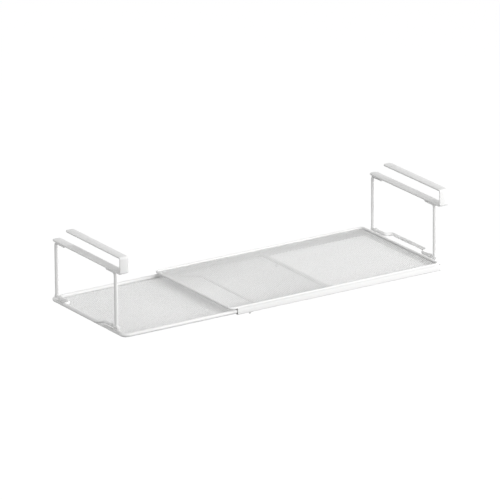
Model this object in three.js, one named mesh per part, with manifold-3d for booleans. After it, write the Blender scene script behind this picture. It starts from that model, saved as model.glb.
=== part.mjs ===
// Extending under-shelf rack: two mesh trays on wire hangers, each hung from a U-shaped shelf clip.
// Millimetres, +Z up. X runs along the shelf's edge, and the shelf enters the clips from +Y.
// The origin is the middle of the right clip's seat, the underside of its upper leg.
import * as THREE from 'three';
import { mergeVertices } from 'three/addons/utils/BufferGeometryUtils.js';
import Module from 'manifold-3d';

const wasm = await Module();
wasm.setup();

// Gap between pieces that are welded together or lie on each other
const SEAT = 0.3;

// Shelf clips
const CLIP_SPACING = 588;
const CLIP_WIDTH = 15;
const CLIP_SHEET = 2.5;
const CLIP_BEND = 1;
const CLIP_CORNER = 4;
const SHELF_GAP = 23;
const UPPER_LEG = 160;
const LOWER_LEG = 200;

// Wire hangers
const HANGER_WIRE = 5.8;
const HANGER_BEND = 6;
const HANGER_DROP = 92;
const FRONT_LEG_INSET = 25.5;
const LEG_SPACING = 174;
const FOOT_LENGTH = 25;
const BAR_FRONT_END = 7;
const BAR_BACK_END = 3;
const GRIP_REACH = 11;
const GRIP_WIDTH = 95;
const GRIP_SLOPE = 5;

// Straps that hook over a hanger's bar and hold the end of a tray
const STRAP_SHEET = 1;
const STRAP_WIDTH = 5;
const STRAP_INSET = 11;

// Upper tray, fixed to the right hanger
const TRAY_DEPTH = 221;
const UPPER_LENGTH = 392;
const UPPER_RIM_WIRE = 3.8;
const UPPER_CORNER = 6;
const RIM_STEP = 2.4;
const CHANNEL_SHEET = 1;
const CHANNEL_FLANGE = 8;
const CHANNEL_BEND = 1;
const MOUTH_SETBACK = 14.5;

// Lower tray, which slides in the channels of the upper one
const LOWER_LENGTH = 391;
const LOWER_END_INSET = 2.5;
const LOWER_RIM_WIRE = 6.4;
const LOWER_CORNER = 9;
const RUN_CLEARANCE = 0.5;
const LOWER_MESH_LIFT = 0.4;

// Brace under the channels, and the pegs that stop against it
const BRACE_WIRE = 4;
const BRACE_BEND = 8;
const BRACE_SETBACK = 25;
const BRACE_REACH = 30;
const BRACE_SLOPE = 21;
const BRACE_INSET = 6;
const PEG_DIAMETER = 4;
const PEG_SPACING = 120;

// Diamond openings of the mesh decks
const MESH_SHEET = 0.6;
const MESH_BORDER = 2;
const DIAMOND_LENGTH = 45;
const DIAMOND_WIDTH = 30;
const STRAND_WIDTH = 1.5;

// How finely round shapes are divided
const WIRE_SIDES = 10;
const BEND_STEPS = 4;
const ARC_STEPS = 4;

const RIGHT_ANGLE = Math.PI / 2;
const UP = new THREE.Vector3(0, 0, 1);
const ALONG_X = new THREE.Vector3(1, 0, 0);
const ALONG_Y = new THREE.Vector3(0, 1, 0);

// Places along Y, from the clip's front face to the middle of the tray
const clipFrontY = -UPPER_LEG / 2;
const frontLegY = clipFrontY + FRONT_LEG_INSET;
const backLegY = frontLegY + LEG_SPACING;
const trayMidY = (frontLegY + backLegY) / 2;
const trayFrontY = trayMidY - TRAY_DEPTH / 2;
const trayBackY = trayMidY + TRAY_DEPTH / 2;

// Levels along Z, from the clip's seat down to the brace
const clipHeight = SHELF_GAP + 2 * CLIP_SHEET;
const clipBottomZ = CLIP_SHEET - clipHeight;
const footZ = clipBottomZ - SEAT - HANGER_WIRE / 2;
const hangerZ = clipBottomZ - HANGER_DROP;
const legBottomZ = hangerZ + HANGER_WIRE / 2 + SEAT;
const upperRimZ = hangerZ - RIM_STEP;
const upperMeshTopZ = upperRimZ - UPPER_RIM_WIRE / 2 + MESH_SHEET;
const channelHeight = LOWER_RIM_WIRE + 2 * RUN_CLEARANCE + 2 * CHANNEL_SHEET;
const channelTopZ = upperRimZ - UPPER_RIM_WIRE / 2 - SEAT;
const channelBottomZ = channelTopZ - channelHeight;
const lowerRimZ = channelBottomZ + channelHeight / 2;
const lowerMeshTopZ = lowerRimZ - LOWER_RIM_WIRE / 2 + LOWER_MESH_LIFT;
const braceZ = channelBottomZ - SEAT - BRACE_WIRE / 2;

// Places along X, from the right hanger leftwards. The end rail's face lies under the middle of its wire.
const strapInner = HANGER_WIRE / 2 + SEAT;
const strapOuter = strapInner + STRAP_SHEET;
const leftHangerX = -CLIP_SPACING;
const railRightX = 0;
const upperRightX = -(strapOuter + SEAT);
const upperLeftX = upperRightX - UPPER_LENGTH;
const mouthX = upperLeftX + MOUTH_SETBACK;
const lowerLeftX = leftHangerX + LOWER_END_INSET - LOWER_RIM_WIRE / 2;
const lowerRightX = lowerLeftX + LOWER_LENGTH;

// How far the rims' centrelines lie inside the channels' outer faces: the upper rim is flush with them
const upperRimInset = UPPER_RIM_WIRE / 2;
const lowerRimInset = CHANNEL_SHEET + RUN_CLEARANCE + LOWER_RIM_WIRE / 2;

// The right straps reach down to the end rail, and the left ones to the round top of the lower rim
const rightStrapTail = hangerZ - channelTopZ - SEAT;
const leftStrapAside = Math.max(LOWER_END_INSET - strapOuter, strapInner - LOWER_END_INSET, 0);
const leftStrapRise = Math.sqrt((LOWER_RIM_WIRE / 2 + SEAT) ** 2 - leftStrapAside ** 2);
const leftStrapTail = hangerZ - lowerRimZ - leftStrapRise;

const coated = { roughness: 0.45, metalness: 0 };
const materials = {
  wire: new THREE.MeshStandardMaterial({ color: 0xf2f2f0, ...coated }),
  sheet: new THREE.MeshStandardMaterial({ color: 0xefefed, ...coated }),
  mesh: new THREE.MeshStandardMaterial({ color: 0xececea, ...coated }),
};

// The centreline of a bent wire: straight runs with stations only at their ends, and round bends in steps
class WirePath extends THREE.Curve {
  constructor(corners, bendRadius, closed = false) {
    super();
    this.closed = closed;
    this.stations = [];
    const count = corners.length;
    corners.forEach((corner, i) => {
      const before = corners[(i + count - 1) % count];
      const after = corners[(i + 1) % count];
      if (!closed && i === 0) {
        this.addStation(corner, after.clone().sub(corner).normalize());
      } else if (!closed && i === count - 1) {
        this.addStation(corner, corner.clone().sub(before).normalize());
      } else {
        this.addBend(before, corner, after, bendRadius);
      }
    });
  }

  addStation(point, tangent) {
    this.stations.push({ point, tangent });
  }

  addBend(before, corner, after, radius) {
    const entry = corner.clone().sub(before).normalize();
    const exit = after.clone().sub(corner).normalize();
    const turn = entry.angleTo(exit);
    const inward = exit.clone().addScaledVector(entry, -exit.dot(entry)).normalize();
    const centre = corner.clone();
    centre.addScaledVector(entry, -radius * Math.tan(turn / 2));
    centre.addScaledVector(inward, radius);
    for (let step = 0; step <= BEND_STEPS; step += 1) {
      const angle = (turn * step) / BEND_STEPS;
      const point = centre.clone();
      point.addScaledVector(inward, -radius * Math.cos(angle));
      point.addScaledVector(entry, radius * Math.sin(angle));
      const tangent = entry.clone().multiplyScalar(Math.cos(angle));
      tangent.addScaledVector(inward, Math.sin(angle));
      this.addStation(point, tangent);
    }
  }

  get steps() {
    return this.closed ? this.stations.length : this.stations.length - 1;
  }

  stationAt(u) {
    return this.stations[Math.round(u * this.steps) % this.stations.length];
  }

  getPointAt(u, target = new THREE.Vector3()) {
    return target.copy(this.stationAt(u).point);
  }

  getTangentAt(u, target = new THREE.Vector3()) {
    return target.copy(this.stationAt(u).tangent);
  }
}

function roundSection(diameter) {
  const points = [];
  for (let side = 0; side < WIRE_SIDES; side += 1) {
    const angle = (2 * Math.PI * side) / WIRE_SIDES;
    points.push(new THREE.Vector2(Math.cos(angle), Math.sin(angle)).multiplyScalar(diameter / 2));
  }
  return new THREE.Shape(points);
}

function bentWire(corners, bendRadius, diameter) {
  const extrudePath = new WirePath(corners, bendRadius);
  return new THREE.ExtrudeGeometry(roundSection(diameter), { extrudePath, steps: extrudePath.steps });
}

function wireLoop(corners, bendRadius, diameter) {
  const path = new WirePath(corners, bendRadius, true);
  return new THREE.TubeGeometry(path, path.steps, diameter / 2, WIRE_SIDES, true);
}

function extrude(shape, depth) {
  return new THREE.ExtrudeGeometry(shape, { depth, bevelEnabled: false, curveSegments: ARC_STEPS });
}

// A strip bent twice into a U on its side: the web at x = 0, the legs towards +x, the lower one at y = 0
function bentSection({ lower, upper, height, sheet, bend }) {
  const outer = bend + sheet;
  const top = height - outer;
  const shape = new THREE.Shape();
  shape.moveTo(lower, 0);
  shape.lineTo(lower, sheet);
  shape.lineTo(outer, sheet);
  shape.absarc(outer, outer, bend, -RIGHT_ANGLE, Math.PI, true);
  shape.lineTo(sheet, top);
  shape.absarc(outer, top, bend, Math.PI, RIGHT_ANGLE, true);
  shape.lineTo(upper, height - sheet);
  shape.lineTo(upper, height);
  shape.lineTo(outer, height);
  shape.absarc(outer, top, outer, RIGHT_ANGLE, Math.PI, false);
  shape.lineTo(0, outer);
  shape.absarc(outer, outer, outer, Math.PI, Math.PI + RIGHT_ANGLE, false);
  shape.closePath();
  return shape;
}

function toSolid(geometry) {
  const bare = geometry.clone();
  bare.deleteAttribute('normal');
  bare.deleteAttribute('uv');
  const merged = mergeVertices(bare);
  return new wasm.Manifold(new wasm.Mesh({
    numProp: 3,
    vertProperties: new Float32Array(merged.attributes.position.array),
    triVerts: new Uint32Array(merged.index.array),
  }));
}

function toGeometry(solid) {
  const mesh = solid.getMesh();
  const geometry = new THREE.BufferGeometry();
  geometry.setAttribute('position', new THREE.BufferAttribute(mesh.vertProperties, mesh.numProp));
  geometry.setIndex(new THREE.BufferAttribute(mesh.triVerts, 1));
  geometry.computeVertexNormals();
  return geometry;
}

// A block with the plan of one clip leg, square at the front and round at the back corners
function legBlank(length, fromHeight, toHeight) {
  const side = CLIP_WIDTH;
  const plan = new THREE.Shape();
  plan.moveTo(0, 0);
  plan.lineTo(length - CLIP_CORNER, 0);
  plan.absarc(length - CLIP_CORNER, CLIP_CORNER, CLIP_CORNER, -RIGHT_ANGLE, 0, false);
  plan.lineTo(length, side - CLIP_CORNER);
  plan.absarc(length - CLIP_CORNER, side - CLIP_CORNER, CLIP_CORNER, 0, RIGHT_ANGLE, false);
  plan.lineTo(0, side);
  plan.closePath();
  const block = extrude(plan, toHeight - fromHeight);
  block.rotateX(RIGHT_ANGLE);
  block.translate(0, toHeight, 0);
  return toSolid(block);
}

// A clip: the bent strip trimmed to the plans of its two legs, which meet halfway up the front plate
function clipGeometry() {
  const section = bentSection({
    lower: LOWER_LEG,
    upper: UPPER_LEG,
    height: clipHeight,
    sheet: CLIP_SHEET,
    bend: CLIP_BEND,
  });
  const strip = toSolid(extrude(section, CLIP_WIDTH));
  const middle = clipHeight / 2;
  const lowerPlan = legBlank(LOWER_LEG, 0, middle + CLIP_SHEET);
  const upperPlan = legBlank(UPPER_LEG, middle, clipHeight);
  return toGeometry(strip.intersect(lowerPlan.add(upperPlan)));
}

// A leg of a hanger in the plane X = 0: a foot along the clip, a bend, and a straight run down to the bar
function legGeometry(y, inward) {
  const corners = [
    new THREE.Vector3(0, y + inward * FOOT_LENGTH, footZ),
    new THREE.Vector3(0, y, footZ),
    new THREE.Vector3(0, y, legBottomZ),
  ];
  return bentWire(corners, HANGER_BEND, HANGER_WIRE);
}

// The bar under both legs, whose middle stands out as a grip
function barGeometry(outward) {
  const gripX = outward * GRIP_REACH;
  const halfGrip = GRIP_WIDTH / 2;
  const corners = [
    new THREE.Vector3(0, frontLegY - BAR_FRONT_END, hangerZ),
    new THREE.Vector3(0, trayMidY - halfGrip - GRIP_SLOPE, hangerZ),
    new THREE.Vector3(gripX, trayMidY - halfGrip, hangerZ),
    new THREE.Vector3(gripX, trayMidY + halfGrip, hangerZ),
    new THREE.Vector3(0, trayMidY + halfGrip + GRIP_SLOPE, hangerZ),
    new THREE.Vector3(0, backLegY + BAR_BACK_END, hangerZ),
  ];
  return bentWire(corners, HANGER_BEND, HANGER_WIRE);
}

// A strap: a half round hook over the bar, with a flat tail on the tray's side at +x
function strapGeometry(tail) {
  const shape = new THREE.Shape();
  shape.moveTo(strapOuter, -tail);
  shape.lineTo(strapOuter, 0);
  shape.absarc(0, 0, strapOuter, 0, Math.PI, false);
  shape.lineTo(-strapInner, 0);
  shape.absarc(0, 0, strapInner, Math.PI, 0, true);
  shape.lineTo(strapInner, -tail);
  shape.closePath();
  const strap = extrude(shape, STRAP_WIDTH);
  strap.translate(0, 0, -STRAP_WIDTH / 2);
  return strap;
}

function channelSection() {
  return bentSection({
    lower: CHANNEL_FLANGE,
    upper: CHANNEL_FLANGE,
    height: channelHeight,
    sheet: CHANNEL_SHEET,
    bend: CHANNEL_BEND,
  });
}

function rectangleCorners(leftX, rightX, frontY, backY, z) {
  return [
    new THREE.Vector3(leftX, frontY, z),
    new THREE.Vector3(rightX, frontY, z),
    new THREE.Vector3(rightX, backY, z),
    new THREE.Vector3(leftX, backY, z),
  ];
}

function roundedRectangle(leftX, rightX, frontY, backY, radius) {
  const shape = new THREE.Shape();
  shape.moveTo(leftX + radius, frontY);
  shape.lineTo(rightX - radius, frontY);
  shape.absarc(rightX - radius, frontY + radius, radius, -RIGHT_ANGLE, 0, false);
  shape.lineTo(rightX, backY - radius);
  shape.absarc(rightX - radius, backY - radius, radius, 0, RIGHT_ANGLE, false);
  shape.lineTo(leftX + radius, backY);
  shape.absarc(leftX + radius, backY - radius, radius, RIGHT_ANGLE, Math.PI, false);
  shape.lineTo(leftX, frontY + radius);
  shape.absarc(leftX + radius, frontY + radius, radius, Math.PI, Math.PI + RIGHT_ANGLE, false);
  shape.closePath();
  return shape;
}

// A mesh deck: a thin plate with staggered diamond openings, which a plain border cuts off
function meshDeck({ leftX, rightX, frontY, backY, corner, topZ }) {
  const border = MESH_BORDER;
  const midX = (leftX + rightX) / 2;
  const midY = (frontY + backY) / 2;
  const roomX = (rightX - leftX) / 2 - border;
  const roomY = (backY - frontY) / 2 - border;
  const columns = 2 * Math.round(roomX / DIAMOND_LENGTH);
  const rows = 2 * Math.round(roomY / DIAMOND_WIDTH);
  const pitchX = roomX / columns;
  const pitchY = roomY / rows;
  const strandSpacing = (2 * pitchX * pitchY) / Math.hypot(pitchX, pitchY);
  const openShare = 1 - STRAND_WIDTH / strandSpacing;
  const diamonds = [];
  for (let column = -columns; column <= columns; column += 1) {
    for (let row = -rows; row <= rows; row += 1) {
      if ((column + row) % 2 === 0) {
        const x = midX + column * pitchX;
        const y = midY + row * pitchY;
        diamonds.push(new THREE.Shape([
          new THREE.Vector2(x - openShare * pitchX, y),
          new THREE.Vector2(x, y - openShare * pitchY),
          new THREE.Vector2(x + openShare * pitchX, y),
          new THREE.Vector2(x, y + openShare * pitchY),
        ]));
      }
    }
  }
  const plate = extrude(roundedRectangle(leftX, rightX, frontY, backY, corner), MESH_SHEET);
  const field = roundedRectangle(
    leftX + border,
    rightX - border,
    frontY + border,
    backY - border,
    corner - border,
  );
  const openings = toSolid(extrude(diamonds, 3 * MESH_SHEET));
  const cutter = openings.intersect(toSolid(extrude(field, 3 * MESH_SHEET)));
  const deck = toGeometry(toSolid(plate).subtract(cutter.translate([0, 0, -MESH_SHEET])));
  deck.translate(0, 0, topZ - MESH_SHEET);
  return deck;
}

function addPiece(group, name, geometry, material) {
  const piece = new THREE.Mesh(geometry, material);
  piece.name = name;
  group.add(piece);
  return piece;
}

// Turns a piece so that its own x and y lie along the given directions, and moves its origin
function place(piece, origin, xDirection, yDirection) {
  const zDirection = xDirection.clone().cross(yDirection);
  const turn = new THREE.Matrix4().makeBasis(xDirection, yDirection, zDirection);
  piece.setRotationFromMatrix(turn);
  piece.position.copy(origin);
}

// One end of the rack: clip, two legs, bar and two straps. The tray lies towards +X or -X of the bar.
function hangingEnd({ side, x, towardTray, tail }) {
  const end = new THREE.Group();
  end.position.x = x;
  const clip = addPiece(end, `${side}_clip`, clipGeometry(), materials.sheet);
  place(clip, new THREE.Vector3(-CLIP_WIDTH / 2, clipFrontY, clipBottomZ), ALONG_Y, UP);
  addPiece(end, `${side}_front_leg`, legGeometry(frontLegY, 1), materials.wire);
  addPiece(end, `${side}_back_leg`, legGeometry(backLegY, -1), materials.wire);
  addPiece(end, `${side}_grip_bar`, barGeometry(-towardTray), materials.wire);
  const strapPlaces = { front: frontLegY + STRAP_INSET, back: backLegY - STRAP_INSET };
  const trayDirection = ALONG_X.clone().multiplyScalar(towardTray);
  for (const [where, y] of Object.entries(strapPlaces)) {
    const strap = addPiece(end, `${side}_${where}_strap`, strapGeometry(tail), materials.sheet);
    place(strap, new THREE.Vector3(0, y, hangerZ), trayDirection, UP);
  }
  return end;
}

// A wire rim, and the deck whose edge tucks under the wire's round side, one seat gap clear of it
function addRimAndMesh(tray, level, { leftX, rightX, inset, rimZ, wire, corner, meshTopZ }) {
  const rimFrontY = trayFrontY + inset;
  const rimBackY = trayBackY - inset;
  const loop = rectangleCorners(leftX, rightX, rimFrontY, rimBackY, rimZ);
  addPiece(tray, `${level}_rim`, wireLoop(loop, corner, wire), materials.wire);
  const tuck = Math.sqrt((wire / 2 + SEAT) ** 2 - (rimZ - meshTopZ) ** 2);
  const deck = meshDeck({
    leftX: leftX + tuck,
    rightX: rightX - tuck,
    frontY: rimFrontY + tuck,
    backY: rimBackY - tuck,
    corner: corner - tuck,
    topZ: meshTopZ,
  });
  addPiece(tray, `${level}_mesh`, deck, materials.mesh);
}

function upperTray() {
  const tray = new THREE.Group();
  const section = channelSection();
  const channelLength = railRightX - mouthX;
  const frontChannel = addPiece(tray, 'front_channel', extrude(section, channelLength), materials.sheet);
  place(frontChannel, new THREE.Vector3(mouthX, trayFrontY, channelBottomZ), ALONG_Y, UP);
  const backChannel = addPiece(tray, 'back_channel', extrude(section, channelLength), materials.sheet);
  const backward = ALONG_Y.clone().negate();
  place(backChannel, new THREE.Vector3(railRightX, trayBackY, channelBottomZ), backward, UP);

  const railStart = trayFrontY + CHANNEL_FLANGE + SEAT;
  const railLength = TRAY_DEPTH - 2 * (CHANNEL_FLANGE + SEAT);
  const endRail = addPiece(tray, 'end_rail', extrude(section, railLength), materials.sheet);
  const leftward = ALONG_X.clone().negate();
  place(endRail, new THREE.Vector3(railRightX, railStart, channelBottomZ), leftward, UP);

  const radius = UPPER_RIM_WIRE / 2;
  addRimAndMesh(tray, 'upper', {
    leftX: upperLeftX + radius,
    rightX: upperRightX - radius,
    inset: upperRimInset,
    rimZ: upperRimZ,
    wire: UPPER_RIM_WIRE,
    corner: UPPER_CORNER,
    meshTopZ: upperMeshTopZ,
  });

  const braceX = mouthX + BRACE_SETBACK;
  const braceFrontY = trayFrontY + BRACE_INSET;
  const braceBackY = trayBackY - BRACE_INSET;
  const brace = [
    new THREE.Vector3(braceX, braceFrontY, braceZ),
    new THREE.Vector3(braceX + BRACE_REACH, braceFrontY + BRACE_SLOPE, braceZ),
    new THREE.Vector3(braceX + BRACE_REACH, braceBackY - BRACE_SLOPE, braceZ),
    new THREE.Vector3(braceX, braceBackY, braceZ),
  ];
  addPiece(tray, 'stop_brace', bentWire(brace, BRACE_BEND, BRACE_WIRE), materials.wire);
  return tray;
}

function lowerTray() {
  const tray = new THREE.Group();
  const radius = LOWER_RIM_WIRE / 2;
  const innerEndX = lowerRightX - radius;
  addRimAndMesh(tray, 'lower', {
    leftX: lowerLeftX + radius,
    rightX: innerEndX,
    inset: lowerRimInset,
    rimZ: lowerRimZ,
    wire: LOWER_RIM_WIRE,
    corner: LOWER_CORNER,
    meshTopZ: lowerMeshTopZ,
  });

  const pegTopZ = lowerRimZ - radius - SEAT;
  const pegBottomZ = braceZ - BRACE_WIRE / 2;
  const pegPlaces = { front: trayMidY - PEG_SPACING / 2, back: trayMidY + PEG_SPACING / 2 };
  for (const [where, y] of Object.entries(pegPlaces)) {
    const shape = extrude(roundSection(PEG_DIAMETER), pegTopZ - pegBottomZ);
    const peg = addPiece(tray, `${where}_stop_peg`, shape, materials.wire);
    peg.position.set(innerEndX, y, pegBottomZ);
  }
  return tray;
}

const rack = new THREE.Group();
rack.name = 'under_shelf_rack';
rack.add(hangingEnd({ side: 'right', x: 0, towardTray: -1, tail: rightStrapTail }));
rack.add(hangingEnd({ side: 'left', x: leftHangerX, towardTray: 1, tail: leftStrapTail }));
rack.add(upperTray());
rack.add(lowerTray());

export default rack;
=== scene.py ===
"""Looks of an extending under-shelf rack: coated wire, bent sheet and fine expanded mesh.

Metres, +Z up. Pieces are placed by the boxes of the solids that they stand for.
"""

import math

import bmesh
import bpy
import numpy as np
from mathutils import Matrix, Vector


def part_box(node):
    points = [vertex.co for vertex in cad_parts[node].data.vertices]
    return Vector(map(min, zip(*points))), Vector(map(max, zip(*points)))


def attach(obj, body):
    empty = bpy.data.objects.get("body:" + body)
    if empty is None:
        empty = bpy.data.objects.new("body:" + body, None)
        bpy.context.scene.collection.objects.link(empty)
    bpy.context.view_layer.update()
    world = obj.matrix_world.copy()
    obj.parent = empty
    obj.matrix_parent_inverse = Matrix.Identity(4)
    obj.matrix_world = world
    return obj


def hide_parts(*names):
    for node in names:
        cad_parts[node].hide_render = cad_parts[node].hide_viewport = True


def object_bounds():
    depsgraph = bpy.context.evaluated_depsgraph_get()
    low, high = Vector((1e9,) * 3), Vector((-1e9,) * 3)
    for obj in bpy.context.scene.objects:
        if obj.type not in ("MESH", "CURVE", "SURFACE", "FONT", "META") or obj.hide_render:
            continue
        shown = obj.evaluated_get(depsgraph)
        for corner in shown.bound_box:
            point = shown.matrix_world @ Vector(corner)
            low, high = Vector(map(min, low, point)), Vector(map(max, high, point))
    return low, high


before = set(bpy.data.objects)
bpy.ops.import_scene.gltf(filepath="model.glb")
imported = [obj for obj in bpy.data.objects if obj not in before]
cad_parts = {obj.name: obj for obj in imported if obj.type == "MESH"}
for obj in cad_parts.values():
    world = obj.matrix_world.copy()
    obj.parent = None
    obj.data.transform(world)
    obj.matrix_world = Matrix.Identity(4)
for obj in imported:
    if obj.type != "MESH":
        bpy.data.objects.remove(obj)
CAD_LOW, CAD_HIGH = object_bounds()

MM = 0.001
RIGHT_ANGLE = math.pi / 2
UP = Vector((0, 0, 1))
ALONG_X = Vector((1, 0, 0))
ALONG_Y = Vector((0, 1, 0))

# Shelf clips
CLIP_SHEET = 2.5 * MM
CLIP_BEND = 2.25 * MM
CLIP_CORNER = 4 * MM
CLIP_EDGE = 0.5 * MM
UPPER_LEG = 160 * MM

# Wire hangers
HANGER_WIRE = 5.8 * MM
HANGER_BEND = 6 * MM
FOOT_LENGTH = 25 * MM
BAR_FRONT_END = 7 * MM
BAR_BACK_END = 3 * MM
GRIP_REACH = 11 * MM
GRIP_WIDTH = 95 * MM
GRIP_SLOPE = 5 * MM
WIRE_END_ROUND = 0.7 * MM

# Straps between hanger and tray
STRAP_SHEET = 1 * MM
STRAP_CLEARANCE = 0.15 * MM
STRAP_EDGE = 0.3 * MM

# Tray rims, channels, brace and pegs
UPPER_RIM_WIRE = 3.8 * MM
UPPER_CORNER = 6 * MM
LOWER_RIM_WIRE = 6.4 * MM
LOWER_CORNER = 9 * MM
CHANNEL_SHEET = 1 * MM
CHANNEL_BEND = 1 * MM
CHANNEL_LIP_ROUND = 0.35 * MM
CHANNEL_CORNER = 5 * MM
SEAM_DIP = 0.15 * MM
BRACE_WIRE = 4 * MM
BRACE_BEND = 8 * MM
BRACE_SETBACK = 25 * MM
BRACE_REACH = 30 * MM
BRACE_SLOPE = 21 * MM
BRACE_INSET = 6 * MM

# Expanded mesh: sizes, the least share of a cell that is kept, and where each pattern starts
CELL_LENGTH = 6.3 * MM
CELL_WIDTH = 4.5 * MM
STRAND_WIDTH = 1.05 * MM
STRAND_HEIGHT = 0.9 * MM
STRAND_CROWN = 0.1 * MM
SMALLEST_CELL = 0.25
UPPER_MESH_SHIFT = 0
LOWER_MESH_SHIFT = 2.5 * MM

# Weld beads: radii and lengths, then the shares and the power that shape and place them
FOOT_BEAD = 1.1 * MM
FOOT_BEAD_LENGTH = 17 * MM
LEG_BEAD = 0.8 * MM
BRACE_BEAD = 0.9 * MM
BRACE_BEAD_LENGTH = 4.5 * MM
BRACE_BEAD_START = 1 * MM
BEAD_RIPPLE_PITCH = 1.6 * MM
FOOT_BEAD_ASIDE = 0.85
FOOT_BEAD_DROP = 0.5
BRACE_BEAD_ASIDE = 0.8
BRACE_BEAD_DROP = 0.4
LEG_BEAD_SADDLE = 0.03
BEAD_RIPPLE = 0.12
BEAD_TIP = 0.06
BEAD_BLUNTNESS = 0.4

# How finely round shapes are divided
WIRE_SIDES = 20
BEND_STEPS = 10
EDGE_STEPS = 3
BEAD_STEPS = 28
BEAD_SIDES = 12
SMOOTH_ANGLE = 40
MESH_SMOOTH_ANGLE = 55

# Powder coat: colours where it is thin and thick, roughness, and the noise that varies them
PAINT_THIN = (0.83, 0.83, 0.825)
PAINT_THICK = (0.87, 0.87, 0.865)
MESH_PAINT_THIN = (0.82, 0.82, 0.815)
MESH_PAINT_THICK = (0.86, 0.86, 0.855)
WIRE_ROUGHNESS = 0.42
SHEET_ROUGHNESS = 0.45
MESH_ROUGHNESS = 0.5
ROUGHNESS_SPREAD = 0.06
COAT_IOR = 1.5
CLOUD_SCALE = 35
CLOUD_DETAIL = 3
BLOTCH_SCALE = 120
PEEL_SCALE = 900
FINE_DETAIL = 2
PEEL_STRENGTH = 0.15
PEEL_DEPTH = 0.05 * MM

# Sockets of the colour mix node
MIX_FACTOR = 0
MIX_FIRST = 6
MIX_SECOND = 7
MIX_RESULT = 2

# View of the photograph
VIEW_AZIMUTH = -32.72
VIEW_ELEVATION = 18.69
VIEW_ROLL = -0.41
VIEW_DISTANCE = 10.811
VIEW_LENS = 500
VIEW_SENSOR = 36
VIEW_OFFSET = Vector((5.5, 1.0, -7.6)) * MM

# Light and stage: each lamp has its place and its power in watts
LAMPS = {
    "front": (Vector((0.2, -1.7, 0.4)), 25.5),
    "left": (Vector((-2.3, 0.0, -0.2)), 8.5),
    "right": (Vector((1.8, -0.2, 0.1)), 38),
    "top": (Vector((-0.9, 0.25, 1.8)), 8.5),
}
LAMP_SIZE = 1.0
AMBIENT = 0.37
FLOOR_DROP = 0.6
FLOOR_SIZE = 40
FLOOR_ALBEDO = 0.1
FLOOR_GLOW = 0.96

FIXED = "fixed_tray"
SLIDING = "sliding_tray"


def round_bend(before, corner, after, radius):
    """Points round one bend of a path that would turn sharply at the corner."""
    entry = (corner - before).normalized()
    leave = (after - corner).normalized()
    turn = entry.angle(leave)
    inward = (leave - entry * leave.dot(entry)).normalized()
    centre = corner - entry * radius * math.tan(turn / 2) + inward * radius
    angles = [turn * step / BEND_STEPS for step in range(BEND_STEPS + 1)]
    return [centre + (entry * math.sin(a) - inward * math.cos(a)) * radius for a in angles]


def bent_path(corners, radius, closed=False):
    """Points of a path with straight runs and round bends."""
    points = []
    last = len(corners) - 1
    for i, corner in enumerate(corners):
        if not closed and i in (0, last):
            points.append(corner)
        else:
            after = corners[(i + 1) % len(corners)]
            points.extend(round_bend(corners[i - 1], corner, after, radius))
    return points


def tangents(points, closed=False):
    """Unit directions of a path at its points."""
    found = []
    last = len(points) - 1
    for i, point in enumerate(points):
        before = points[i - 1] if closed or i > 0 else None
        after = points[(i + 1) % len(points)] if closed or i < last else None
        direction = Vector()
        if before is not None:
            direction += (point - before).normalized()
        if after is not None:
            direction += (after - point).normalized()
        found.append(direction.normalized())
    return found


def skin(rings, closed=False):
    """Vertices and faces of a surface over rings of points, with its ends capped unless it closes."""
    count = len(rings[0])
    vertices = [point for ring in rings for point in ring]
    faces = []
    spans = len(rings) if closed else len(rings) - 1
    for span in range(spans):
        here = span * count
        there = ((span + 1) % len(rings)) * count
        for side in range(count):
            after = (side + 1) % count
            faces.append((here + side, here + after, there + after, there + side))
    if not closed:
        faces.append(tuple(reversed(range(count))))
        faces.append(tuple(range(spans * count, len(rings) * count)))
    return vertices, faces


def tube(points, radii, closed=False, sides=WIRE_SIDES):
    """A round skin along a path, with a radius at each of its points."""
    directions = tangents(points, closed)
    normal = directions[0].orthogonal()
    rings = []
    for point, direction, radius in zip(points, directions, radii):
        normal = (normal - direction * normal.dot(direction)).normalized()
        across = direction.cross(normal)
        angles = [2 * math.pi * side / sides for side in range(sides)]
        rings.append([point + (normal * math.cos(a) + across * math.sin(a)) * radius for a in angles])
    return skin(rings, closed)


def wire(corners, bend, diameter):
    """A bent wire whose cut ends have rounded edges."""
    points = bent_path(corners, bend)
    radius = diameter / 2
    radii = [radius] * len(points)
    for end, following in ((0, 1), (-1, -2)):
        inward = (points[following] - points[end]).normalized()
        tip = points[end]
        rings = []
        for step in range(EDGE_STEPS + 1):
            angle = RIGHT_ANGLE * step / EDGE_STEPS
            rings.append((tip + inward * (WIRE_END_ROUND - WIRE_END_ROUND * math.cos(angle)),
                          radius - WIRE_END_ROUND * (1 - math.sin(angle))))
        ring_points = [point for point, _ in rings]
        ring_radii = [size for _, size in rings]
        if end == 0:
            points = ring_points + points[1:]
            radii = ring_radii + radii[1:]
        else:
            points = points[:-1] + ring_points[::-1]
            radii = radii[:-1] + ring_radii[::-1]
    return tube(points, radii)


def wire_loop(left, right, front, back, z, bend, diameter):
    """A closed rectangle of wire with round corners."""
    corners = [
        Vector((left, front, z)),
        Vector((right, front, z)),
        Vector((right, back, z)),
        Vector((left, back, z)),
    ]
    points = bent_path(corners, bend, closed=True)
    return tube(points, [diameter / 2] * len(points), closed=True)


def rounded_section(half_width, half_height, edge):
    """Corner points of a rectangle with rounded edges, as pairs."""
    points = []
    for quarter, (sx, sy) in enumerate(((1, 1), (-1, 1), (-1, -1), (1, -1))):
        for step in range(EDGE_STEPS + 1):
            angle = RIGHT_ANGLE * (quarter + step / EDGE_STEPS)
            x = sx * (half_width - edge) + edge * math.cos(angle)
            y = sy * (half_height - edge) + edge * math.sin(angle)
            points.append((x, y))
    return points


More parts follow.
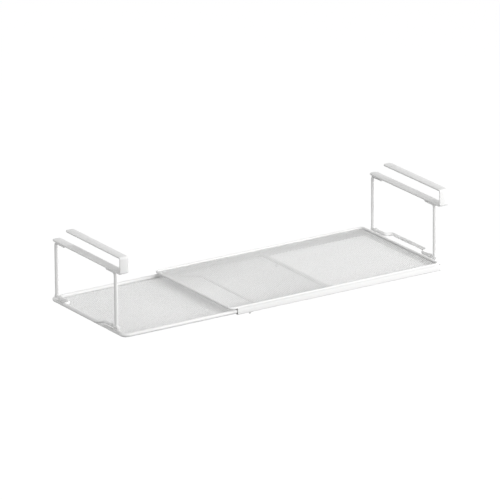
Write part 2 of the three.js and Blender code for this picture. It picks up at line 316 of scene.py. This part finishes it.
def strip(points, across, half_widths, sheet, edge):
    """A flat strip bent along a path: the width lies along across, and may narrow towards the ends."""
    rings = []
    for point, direction, half_width in zip(points, tangents(points), half_widths):
        normal = direction.cross(across).normalized()
        section = rounded_section(half_width, sheet / 2, edge)
        rings.append([point + across * x + normal * y for x, y in section])
    return skin(rings)


def joined(parts):
    """Several surfaces as one list of vertices and one of faces."""
    vertices = []
    faces = []
    for part_vertices, part_faces in parts:
        start = len(vertices)
        vertices.extend(part_vertices)
        faces.extend(tuple(start + i for i in face) for face in part_faces)
    return vertices, faces


def add_piece(name, part, material, body, replaces=(), smooth_angle=SMOOTH_ANGLE):
    """A mesh object that rides on a body and stands for the solids that it replaces."""
    vertices, faces = part
    mesh = bpy.data.meshes.new(name)
    mesh.from_pydata([tuple(v) for v in vertices], [], faces)
    shape = bmesh.new()
    shape.from_mesh(mesh)
    bmesh.ops.recalc_face_normals(shape, faces=shape.faces)
    shape.to_mesh(mesh)
    shape.free()
    for polygon in mesh.polygons:
        polygon.use_smooth = True
    mesh.set_sharp_from_angle(angle=math.radians(smooth_angle))
    mesh.materials.append(material)
    piece = bpy.data.objects.new(name, mesh)
    bpy.context.scene.collection.objects.link(piece)
    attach(piece, body)
    if replaces:
        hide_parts(*replaces)


def noise(nodes, links, place, scale, detail):
    """A noise texture in object coordinates."""
    texture = nodes.new("ShaderNodeTexNoise")
    texture.inputs["Scale"].default_value = scale
    texture.inputs["Detail"].default_value = detail
    links.new(place.outputs["Object"], texture.inputs["Vector"])
    return texture


def coat_material(name, thin, thick, roughness):
    """White powder coat of uneven thickness, with orange peel and uneven gloss."""
    material = bpy.data.materials.new(name)
    material.use_nodes = True
    nodes = material.node_tree.nodes
    links = material.node_tree.links
    shader = nodes["Principled BSDF"]
    shader.inputs["IOR"].default_value = COAT_IOR
    place = nodes.new("ShaderNodeTexCoord")
    cloud = noise(nodes, links, place, CLOUD_SCALE, CLOUD_DETAIL)
    shade = nodes.new("ShaderNodeMix")
    shade.data_type = "RGBA"
    shade.inputs[MIX_FIRST].default_value = (*thin, 1)
    shade.inputs[MIX_SECOND].default_value = (*thick, 1)
    links.new(cloud.outputs["Fac"], shade.inputs[MIX_FACTOR])
    links.new(shade.outputs[MIX_RESULT], shader.inputs["Base Color"])
    gloss = nodes.new("ShaderNodeMapRange")
    gloss.inputs["To Min"].default_value = roughness - ROUGHNESS_SPREAD
    gloss.inputs["To Max"].default_value = roughness + ROUGHNESS_SPREAD
    blotch = noise(nodes, links, place, BLOTCH_SCALE, FINE_DETAIL)
    links.new(blotch.outputs["Fac"], gloss.inputs["Value"])
    links.new(gloss.outputs["Result"], shader.inputs["Roughness"])
    peel = noise(nodes, links, place, PEEL_SCALE, FINE_DETAIL)
    bump = nodes.new("ShaderNodeBump")
    bump.inputs["Strength"].default_value = PEEL_STRENGTH
    bump.inputs["Distance"].default_value = PEEL_DEPTH
    links.new(peel.outputs["Fac"], bump.inputs["Height"])
    links.new(bump.outputs["Normal"], shader.inputs["Normal"])
    return material


def clip_path(low, high):
    """Middle line of a clip's strip, from the lower leg's back end to the upper leg's."""
    half = CLIP_SHEET / 2
    x = (low.x + high.x) / 2
    corners = [
        Vector((x, high.y, low.z + half)),
        Vector((x, low.y + half, low.z + half)),
        Vector((x, low.y + half, high.z - half)),
        Vector((x, low.y + UPPER_LEG, high.z - half)),
    ]
    return bent_path(corners, CLIP_BEND)


def rounded_end(tip, inward, half_width):
    """Stations of a strip's end with round corners: points from the tip inwards, and half widths."""
    points = []
    widths = []
    for step in range(2 * BEND_STEPS + 1):
        angle = RIGHT_ANGLE * step / (2 * BEND_STEPS)
        points.append(tip + inward * CLIP_CORNER * (1 - math.cos(angle)))
        widths.append(half_width - CLIP_CORNER * (1 - math.sin(angle)))
    return points, widths


def add_clip(side, body, material):
    """A strip bent round the shelf's edge, with round corners at its two ends."""
    low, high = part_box(f"{side}_clip")
    half_width = (high.x - low.x) / 2
    middle = clip_path(low, high)
    first, first_widths = rounded_end(middle[0], -ALONG_Y, half_width)
    last, last_widths = rounded_end(middle[-1], -ALONG_Y, half_width)
    points = first + middle[1:-1] + last[::-1]
    widths = first_widths + [half_width] * (len(middle) - 2) + last_widths[::-1]
    part = strip(points, ALONG_X, widths, CLIP_SHEET, CLIP_EDGE)
    add_piece(f"{side}_shelf_clip", part, material, body, [f"{side}_clip"])


def middle_x(side):
    """Place along X of an end's hanger."""
    low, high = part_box(f"{side}_clip")
    return (low.x + high.x) / 2


def bar_level(side):
    """Level of the middle of an end's grip bar."""
    low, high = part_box(f"{side}_grip_bar")
    return (low.z + high.z) / 2


def leg_places(side):
    """Place along Y of each leg of a hanger, and the way its foot points."""
    front_low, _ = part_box(f"{side}_front_leg")
    _, back_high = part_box(f"{side}_back_leg")
    radius = HANGER_WIRE / 2
    return {"front": (front_low.y + radius, 1), "back": (back_high.y - radius, -1)}


def leg_weld(x, y, z):
    """A bead round a leg's lower end, where it stands on the round bar."""
    radius = HANGER_WIRE / 2
    points = []
    for step in range(BEAD_STEPS):
        angle = 2 * math.pi * step / BEAD_STEPS
        across = math.cos(angle)
        along = math.sin(angle)
        rise = math.sqrt(along * along + LEG_BEAD_SADDLE) * radius
        points.append(Vector((x + across * radius, y + along * radius, z + rise)))
    return tube(points, [LEG_BEAD] * len(points), closed=True, sides=BEAD_SIDES)


def add_hanger(side, outward, body, material):
    """Two legs with feet under the clip, and the bar below them whose middle stands out as a grip."""
    x = middle_x(side)
    z = bar_level(side)
    places = leg_places(side)
    welds = []
    for where, (y, inward) in places.items():
        node = f"{side}_{where}_leg"
        _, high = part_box(node)
        top = high.z - HANGER_WIRE / 2
        corners = [
            Vector((x, y + inward * FOOT_LENGTH, top)),
            Vector((x, y, top)),
            Vector((x, y, z)),
        ]
        leg = wire(corners, HANGER_BEND, HANGER_WIRE)
        add_piece(f"{side}_{where}_wire_leg", leg, material, body, [node])
        welds.append(leg_weld(x, y, z))
    add_piece(f"{side}_leg_welds", joined(welds), material, body)

    middle = (places["front"][0] + places["back"][0]) / 2
    half_grip = GRIP_WIDTH / 2
    grip_x = x + outward * GRIP_REACH
    corners = [
        Vector((x, places["front"][0] - BAR_FRONT_END, z)),
        Vector((x, middle - half_grip - GRIP_SLOPE, z)),
        Vector((grip_x, middle - half_grip, z)),
        Vector((grip_x, middle + half_grip, z)),
        Vector((x, middle + half_grip + GRIP_SLOPE, z)),
        Vector((x, places["back"][0] + BAR_BACK_END, z)),
    ]
    bar = wire(corners, HANGER_BEND, HANGER_WIRE)
    add_piece(f"{side}_wire_grip_bar", bar, material, body, [f"{side}_grip_bar"])


def add_strap(side, where, toward_tray, body, material):
    """A strip hooked over the grip bar, with its tail on the tray's side."""
    node = f"{side}_{where}_strap"
    low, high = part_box(node)
    x = middle_x(side)
    y = (low.y + high.y) / 2
    z = bar_level(side)
    radius = HANGER_WIRE / 2 + STRAP_CLEARANCE + STRAP_SHEET / 2
    points = []
    for step in range(2 * BEND_STEPS + 1):
        angle = math.pi * step / (2 * BEND_STEPS)
        across = toward_tray * radius * math.cos(angle)
        points.append(Vector((x - across, y, z + radius * math.sin(angle))))
    points.append(Vector((points[-1].x, y, low.z)))
    half_width = (high.y - low.y) / 2
    part = strip(points, ALONG_Y, [half_width] * len(points), STRAP_SHEET, STRAP_EDGE)
    add_piece(f"{side}_{where}_tie", part, material, body, [node])


def rim_edges(node, diameter):
    """Centreline places of a rim: left, right, front, back and level."""
    low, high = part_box(node)
    radius = diameter / 2
    level = (low.z + high.z) / 2
    return low.x + radius, high.x - radius, low.y + radius, high.y - radius, level


def channel_profile(height, flange):
    """Outline of a runner's section as pairs of depth inwards and height, with the web at depth 0."""
    outer = CHANNEL_BEND + CHANNEL_SHEET
    lip = CHANNEL_LIP_ROUND

    def arc(x, z, radius, start, end):
        steps = 2 * EDGE_STEPS
        angles = [start + (end - start) * step / steps for step in range(steps + 1)]
        return [(x + radius * math.cos(a), z + radius * math.sin(a)) for a in angles]

    points = []
    points += arc(flange - lip, lip, lip, -RIGHT_ANGLE, 0)
    points += arc(flange - lip, CHANNEL_SHEET - lip, lip, 0, RIGHT_ANGLE)
    points += arc(outer, outer, CHANNEL_BEND, -RIGHT_ANGLE, -math.pi)
    points += arc(outer, height - outer, CHANNEL_BEND, math.pi, RIGHT_ANGLE)
    points += arc(flange - lip, height - CHANNEL_SHEET + lip, lip, -RIGHT_ANGLE, 0)
    points += arc(flange - lip, height - lip, lip, 0, RIGHT_ANGLE)
    points += arc(outer, height - outer, outer, RIGHT_ANGLE, math.pi)
    points += arc(outer, outer, outer, math.pi, math.pi + RIGHT_ANGLE)
    return points


def add_channel_frame(material):
    """One channel bent round the right end: front runner, end rail and back runner."""
    front_low, front_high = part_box("front_channel")
    _, back_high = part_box("back_channel")
    corners = [
        Vector((front_low.x, front_low.y, front_low.z)),
        Vector((front_high.x, front_low.y, front_low.z)),
        Vector((front_high.x, back_high.y, front_low.z)),
        Vector((front_low.x, back_high.y, front_low.z)),
    ]
    profile = channel_profile(front_high.z - front_low.z, front_high.y - front_low.y)
    points = bent_path(corners, CHANNEL_CORNER)
    rings = []
    for point, direction in zip(points, tangents(points)):
        inward = UP.cross(direction)
        rings.append([point + inward * depth + UP * height for depth, height in profile])
    nodes = ["front_channel", "back_channel", "end_rail"]
    add_piece("channel_frame", skin(rings), material, FIXED, nodes)


def add_edge_seams(material):
    """Coat that bridges the groove between the upper rim and the long channels' outer faces."""
    _, right, front, back, rim_z = rim_edges("upper_rim", UPPER_RIM_WIRE)
    channel_low, channel_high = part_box("front_channel")
    radius = UPPER_RIM_WIRE / 2
    web_top = channel_high.z - CHANNEL_BEND - CHANNEL_SHEET
    parts = []
    for rim_y, outward in ((front, -1), (back, 1)):
        face = rim_y + outward * radius
        section = [
            (face, rim_z),
            (face - outward * SEAM_DIP, (rim_z + web_top) / 2),
            (face, web_top),
            (rim_y, web_top),
            (rim_y, rim_z),
        ]
        ends = channel_low.x, right - UPPER_CORNER
        rings = [[Vector((x, y, z)) for y, z in section] for x in ends]
        parts.append(skin(rings))
    add_piece("edge_seams", joined(parts), material, FIXED)


def inside_corners(points, low, high, corner):
    """Moves the points that lie outside a rectangle's round corners to the nearest place on them."""
    core = np.clip(points, low + corner, high - corner)
    away = points - core
    reach = np.linalg.norm(away, axis=-1, keepdims=True)
    return core + away * np.minimum(1, corner / np.maximum(reach, corner))


def mesh_grid(left, right, front, back, corner, shift):
    """Places of the pattern's half cells, which start at the shift and are cut at the deck's edges."""
    columns = 2 * round((right - left) / CELL_LENGTH)
    rows = 2 * round((back - front) / CELL_WIDTH)
    step = (right - left) / columns
    xs = np.clip(left + shift + step * np.arange(-1, columns + 2), left, right)
    ys = np.linspace(front, back, rows + 1)
    grid = np.stack(np.meshgrid(xs, ys, indexing="ij"), axis=-1)
    low = np.array((left, front))
    high = np.array((right, back))
    return inside_corners(grid, low, high, corner)


def mesh_cells(grid):
    """Corners of the staggered diamond cells, and their numbers in the grid, without slivers."""
    columns, rows = grid.shape[:2]
    column, row = np.meshgrid(np.arange(1, columns - 1), np.arange(1, rows - 1), indexing="ij")
    staggered = (column + row) % 2 == 0
    column = column[staggered]
    row = row[staggered]
    around = [(column - 1, row), (column, row - 1), (column + 1, row), (column, row + 1)]
    cells = np.stack([grid[c, r] for c, r in around], axis=1)
    ids = np.stack([c * rows + r for c, r in around], axis=1)
    long = cells[:, 2] - cells[:, 0]
    wide = cells[:, 3] - cells[:, 1]
    area = np.abs(long[:, 0] * wide[:, 1] - long[:, 1] * wide[:, 0]) / 2
    kept = area > SMALLEST_CELL * CELL_LENGTH * CELL_WIDTH / 2
    return cells[kept], ids[kept]


def mesh_deck(left, right, front, back, corner, top, shift):
    """Expanded metal: diamond cells between ridged strands, with a closed surface."""
    grid = mesh_grid(left, right, front, back, corner, shift)
    cells, ids = mesh_cells(grid)
    spacing = CELL_LENGTH * CELL_WIDTH / math.hypot(CELL_LENGTH, CELL_WIDTH)
    middles = cells.mean(axis=1, keepdims=True)
    holes = middles + (cells - middles) * (1 - STRAND_WIDTH / spacing)
    used, knots = np.unique(ids, return_inverse=True)
    knots = knots.reshape(ids.shape)
    knot_places = grid.reshape(-1, 2)[used]
    hole_places = holes.reshape(-1, 2)
    hole_ids = np.arange(len(hole_places)).reshape(ids.shape)

    def level(places, z):
        return np.column_stack((places, np.full(len(places), z)))

    ridge = top + STRAND_CROWN
    vertices = np.concatenate((
        level(knot_places, ridge),
        level(knot_places, ridge - STRAND_HEIGHT),
        level(hole_places, ridge - STRAND_HEIGHT / 2),
    ))
    under = len(knot_places)
    hole_ids = hole_ids + 2 * under
    faces = []
    outline = []
    for corner_index in range(4):
        following = (corner_index + 1) % 4
        knot_a = knots[:, corner_index]
        knot_b = knots[:, following]
        hole_a = hole_ids[:, corner_index]
        hole_b = hole_ids[:, following]
        faces.append(np.stack((knot_a, knot_b, hole_b, hole_a), axis=1))
        faces.append(np.stack((knot_b + under, knot_a + under, hole_a, hole_b), axis=1))
        outline.append(np.stack((knot_a, knot_b), axis=1))
    edges = np.concatenate(outline)
    _, where, counts = np.unique(np.sort(edges, axis=1), axis=0, return_index=True, return_counts=True)
    rim = edges[where[counts == 1]]
    faces.append(np.stack((rim[:, 1], rim[:, 0], rim[:, 0] + under, rim[:, 1] + under), axis=1))
    return vertices, np.concatenate(faces).tolist()


def add_tray(level, diameter, bend, shift, body, wire_material, mesh_material):
    """A rim and the mesh deck whose cut edge ends in the rim's wire."""
    left, right, front, back, z = rim_edges(f"{level}_rim", diameter)
    rim = wire_loop(left, right, front, back, z, bend, diameter)
    add_piece(f"{level}_wire_rim", rim, wire_material, body, [f"{level}_rim"])
    _, deck_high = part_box(f"{level}_mesh")
    deck = mesh_deck(left, right, front, back, bend, deck_high.z, shift)
    name = f"{level}_mesh_deck"
    nodes = [f"{level}_mesh"]
    add_piece(name, deck, mesh_material, body, nodes, MESH_SMOOTH_ANGLE)


def add_brace(material):
    """A bent wire under the channels near their open ends."""
    front_low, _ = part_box("front_channel")
    _, back_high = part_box("back_channel")
    low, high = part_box("stop_brace")
    z = (low.z + high.z) / 2
    x = front_low.x + BRACE_SETBACK
    front = front_low.y + BRACE_INSET
    back = back_high.y - BRACE_INSET
    corners = [
        Vector((x, front, z)),
        Vector((x + BRACE_REACH, front + BRACE_SLOPE, z)),
        Vector((x + BRACE_REACH, back - BRACE_SLOPE, z)),
        Vector((x, back, z)),
    ]
    part = wire(corners, BRACE_BEND, BRACE_WIRE)
    add_piece("wire_brace", part, material, FIXED, ["stop_brace"])


def add_pegs(material):
    """Pins under the sliding tray's inner end that stop at the brace."""
    for where in ("front", "back"):
        node = f"{where}_stop_peg"
        low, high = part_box(node)
        x = (low.x + high.x) / 2
        y = (low.y + high.y) / 2
        part = wire([Vector((x, y, low.z)), Vector((x, y, high.z))], 0, high.x - low.x)
        add_piece(f"{where}_peg", part, material, SLIDING, [node])


def bead(start, end, radius):
    """A short weld bead: a tapered, rippled round line."""
    length = (end - start).length
    points = []
    radii = []
    for step in range(BEAD_STEPS + 1):
        share = step / BEAD_STEPS
        points.append(start.lerp(end, share))
        taper = math.sin(math.pi * (BEAD_TIP + (1 - 2 * BEAD_TIP) * share)) ** BEAD_BLUNTNESS
        ripple = 1 + BEAD_RIPPLE * math.sin(2 * math.pi * share * length / BEAD_RIPPLE_PITCH)
        radii.append(radius * taper * ripple)
    return tube(points, radii, sides=BEAD_SIDES)


def add_foot_welds(side, body, material):
    """Beads on both sides of each hanger foot, where it lies under the clip."""
    clip_low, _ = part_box(f"{side}_clip")
    x = middle_x(side)
    radius = HANGER_WIRE / 2
    parts = []
    for y, inward in leg_places(side).values():
        start_y = y + inward * (FOOT_LENGTH - FOOT_BEAD_LENGTH - radius)
        for aside in (-1, 1):
            bead_x = x + aside * radius * FOOT_BEAD_ASIDE
            start = Vector((bead_x, start_y, clip_low.z - FOOT_BEAD * FOOT_BEAD_DROP))
            finish = start + ALONG_Y * inward * FOOT_BEAD_LENGTH
            parts.append(bead(start, finish, FOOT_BEAD))
    add_piece(f"{side}_foot_welds", joined(parts), material, body)


def add_brace_welds(material):
    """Beads on both sides of the brace's ends, where it lies under the channels."""
    front_low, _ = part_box("front_channel")
    _, back_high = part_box("back_channel")
    x = front_low.x + BRACE_SETBACK
    slope = Vector((BRACE_REACH, BRACE_SLOPE, 0)).normalized()
    parts = []
    for y, inward in ((front_low.y + BRACE_INSET, 1), (back_high.y - BRACE_INSET, -1)):
        way = Vector((slope.x, slope.y * inward, 0))
        across = way.cross(UP)
        for aside in (-1, 1):
            start = Vector((x, y, front_low.z - BRACE_BEAD * BRACE_BEAD_DROP))
            start += way * BRACE_BEAD_START
            start += across * aside * BRACE_WIRE / 2 * BRACE_BEAD_ASIDE
            parts.append(bead(start, start + way * BRACE_BEAD_LENGTH, BRACE_BEAD))
    add_piece("brace_welds", joined(parts), material, FIXED)


def make_floor():
    """A pale floor that looks white where nothing shades it."""
    mesh = bpy.data.meshes.new("floor")
    half = FLOOR_SIZE / 2
    z = CAD_LOW.z - FLOOR_DROP
    corners = [(-half, -half, z), (half, -half, z), (half, half, z), (-half, half, z)]
    mesh.from_pydata(corners, [], [(0, 1, 2, 3)])
    floor = bpy.data.objects.new("floor", mesh)
    bpy.context.scene.collection.objects.link(floor)
    material = bpy.data.materials.new("pale_floor")
    material.use_nodes = True
    nodes = material.node_tree.nodes
    links = material.node_tree.links
    nodes.remove(nodes["Principled BSDF"])
    matt = nodes.new("ShaderNodeBsdfDiffuse")
    matt.inputs["Color"].default_value = (FLOOR_ALBEDO, FLOOR_ALBEDO, FLOOR_ALBEDO, 1)
    glow = nodes.new("ShaderNodeEmission")
    seen = seen_directly(nodes, links)
    strength = nodes.new("ShaderNodeMath")
    strength.operation = "MULTIPLY"
    strength.inputs[1].default_value = FLOOR_GLOW
    links.new(seen, strength.inputs[0])
    links.new(strength.outputs[0], glow.inputs["Strength"])
    both = nodes.new("ShaderNodeAddShader")
    links.new(matt.outputs[0], both.inputs[0])
    links.new(glow.outputs[0], both.inputs[1])
    links.new(both.outputs[0], nodes["Material Output"].inputs["Surface"])
    mesh.materials.append(material)


def seen_directly(nodes, links):
    """A socket that is 1 on camera, glossy and transmission rays, and else 0."""
    path = nodes.new("ShaderNodeLightPath")
    either = path.outputs["Is Camera Ray"]
    for kind in ("Is Glossy Ray", "Is Transmission Ray"):
        largest = nodes.new("ShaderNodeMath")
        largest.operation = "MAXIMUM"
        links.new(either, largest.inputs[0])
        links.new(path.outputs[kind], largest.inputs[1])
        either = largest.outputs[0]
    return either


def make_world():
    """Even light from all round, which looks white behind the floor's edge."""
    world = bpy.data.worlds.new("studio")
    bpy.context.scene.world = world
    world.use_nodes = True
    nodes = world.node_tree.nodes
    links = world.node_tree.links
    level = nodes.new("ShaderNodeMapRange")
    level.inputs["To Min"].default_value = AMBIENT
    level.inputs["To Max"].default_value = 1
    links.new(seen_directly(nodes, links), level.inputs["Value"])
    background = nodes["Background"]
    background.inputs["Color"].default_value = (1, 1, 1, 1)
    links.new(level.outputs["Result"], background.inputs["Strength"])


def make_lamp(name, place, power):
    """A large soft light that faces the middle of the rack."""
    middle = (CAD_LOW + CAD_HIGH) / 2
    light = bpy.data.lights.new(name, "AREA")
    light.size = LAMP_SIZE
    light.energy = power
    lamp = bpy.data.objects.new(name, light)
    lamp.location = place
    lamp.rotation_mode = "QUATERNION"
    lamp.rotation_quaternion = (place - middle).to_track_quat("Z", "Y")
    bpy.context.scene.collection.objects.link(lamp)


def make_camera():
    """The photograph's view: a long lens from the front left, a little above."""
    azimuth = math.radians(VIEW_AZIMUTH)
    elevation = math.radians(VIEW_ELEVATION)
    flat = math.cos(elevation)
    back = Vector((math.sin(azimuth) * flat, -math.cos(azimuth) * flat, math.sin(elevation)))
    right = Vector((math.cos(azimuth), math.sin(azimuth), 0))
    turn = Matrix.Rotation(math.radians(VIEW_ROLL), 3, back)
    right = turn @ right
    up = back.cross(right)
    target = (CAD_LOW + CAD_HIGH) / 2 + VIEW_OFFSET
    lens = bpy.data.cameras.new("view")
    lens.lens = VIEW_LENS
    lens.sensor_width = VIEW_SENSOR
    camera = bpy.data.objects.new("view", lens)
    axes = Matrix((right, up, back)).transposed().to_4x4()
    camera.matrix_world = Matrix.Translation(target + back * VIEW_DISTANCE) @ axes
    bpy.context.scene.collection.objects.link(camera)
    bpy.context.scene.camera = camera


wire_coat = coat_material("coated_wire", PAINT_THIN, PAINT_THICK, WIRE_ROUGHNESS)
sheet_coat = coat_material("coated_sheet", PAINT_THIN, PAINT_THICK, SHEET_ROUGHNESS)
mesh_coat = coat_material("coated_mesh", MESH_PAINT_THIN, MESH_PAINT_THICK, MESH_ROUGHNESS)

for side, body, outward in (("right", FIXED, 1), ("left", SLIDING, -1)):
    add_clip(side, body, sheet_coat)
    add_hanger(side, outward, body, wire_coat)
    add_foot_welds(side, body, wire_coat)
    for where in ("front", "back"):
        add_strap(side, where, -outward, body, sheet_coat)
add_channel_frame(sheet_coat)
add_edge_seams(sheet_coat)
add_tray("upper", UPPER_RIM_WIRE, UPPER_CORNER, UPPER_MESH_SHIFT, FIXED, wire_coat, mesh_coat)
add_tray("lower", LOWER_RIM_WIRE, LOWER_CORNER, LOWER_MESH_SHIFT, SLIDING, wire_coat, mesh_coat)
add_brace(wire_coat)
add_pegs(wire_coat)
add_brace_welds(wire_coat)

make_floor()
make_world()
for lamp_name, (lamp_place, lamp_power) in LAMPS.items():
    make_lamp(lamp_name, lamp_place, lamp_power)
make_camera()
bpy.context.scene.view_settings.view_transform = "Standard"
